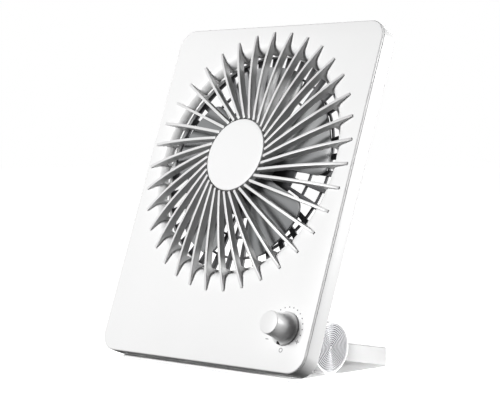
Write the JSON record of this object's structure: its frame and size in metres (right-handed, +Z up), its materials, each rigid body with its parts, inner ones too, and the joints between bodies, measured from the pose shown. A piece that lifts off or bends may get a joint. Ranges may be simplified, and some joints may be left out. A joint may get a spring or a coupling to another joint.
{
  "type": "folding desk fan",
  "caption": "Slim battery desk fan: a leaning rounded slab with a domed spiral grille, control knob and free-turning impeller, hinged on a flat foot.",
  "frame": {"origin": "centre of the bounding box's underside, on the surface the fan stands on", "axes": "+Z up, -Y the way the fan blows and the knob faces, +X towards the knob's side"},
  "size_m": [0.15, 0.0837, 0.1804],
  "materials": {
    "white_plastic": "satin white",
    "impeller_plastic": "satin grey",
    "bush_plastic": "dark, self-lubricating",
    "painted_steel": "satin white paint",
    "cap_aluminium": "fine turned rings",
    "magnet": "dark sintered",
    "steel": "bright",
    "brass": "plain",
    "windings": "enamelled copper",
    "board": "green circuit board",
    "cell_wrap": "shrink wrap",
    "lens": "translucent",
    "rubber": "matte"
  },
  "bodies": {
    "foot": {"foot_plate": "painted_steel", "foot_pad_1": "rubber", "foot_pad_2": "rubber", "foot_pad_3": "rubber", "foot_pad_4": "rubber", "end_cap_left": "cap_aluminium", "end_cap_right": "cap_aluminium", "hinge_pin_left": "steel", "hinge_pin_right": "steel", "friction_washer_left": "brass", "friction_washer_right": "brass"},
    "slab": {"front_cover": "white_plastic", "rear_casing": "white_plastic", "spiral_grille": "white_plastic", "hub_badge": "white_plastic", "rear_grille": "white_plastic", "battery_barrel": "white_plastic", "hinge_bush_left": "bush_plastic", "hinge_bush_right": "bush_plastic", "speed_control": "magnet", "motor_stator": "windings", "motor_mount": "steel", "charging_socket": "steel", "motor_screw_1": "steel", "motor_screw_2": "steel", "motor_screw_3": "steel", "casing_screw_1": "steel", "casing_screw_2": "steel", "casing_screw_3": "steel", "casing_screw_4": "steel", "barrel_screw_1": "steel", "barrel_screw_2": "steel", "cell_contact_left": "steel", "cell_contact_right": "steel", "motor_bearing_front": "brass", "motor_bearing_rear": "brass", "control_board": "board", "battery_cell": "cell_wrap", "status_lens": "lens"},
    "rotor": {"impeller": "impeller_plastic", "magnet_ring": "magnet", "motor_shaft": "steel"},
    "knob": {"control_knob": "white_plastic", "control_shaft": "steel"}
  },
  "joints": [
    {"name": "fold", "type": "hinge", "parent": "foot", "child": "slab", "pos_m": [0, 0.00002, 0.0149], "axis": [-1, 0, 0], "range_deg": [0, 70]},
    {"name": "fan_spin", "type": "hinge", "parent": "slab", "child": "rotor", "pos_m": [0, 0.00659, 0.10722], "axis": [0, -0.9397, 0.342], "continuous": true},
    {"name": "knob_turn", "type": "hinge", "parent": "slab", "child": "knob", "pos_m": [0.0579, -0.03349, 0.02837], "axis": [0, 0.9397, -0.342], "range_deg": [0, 300]}
  ]
}
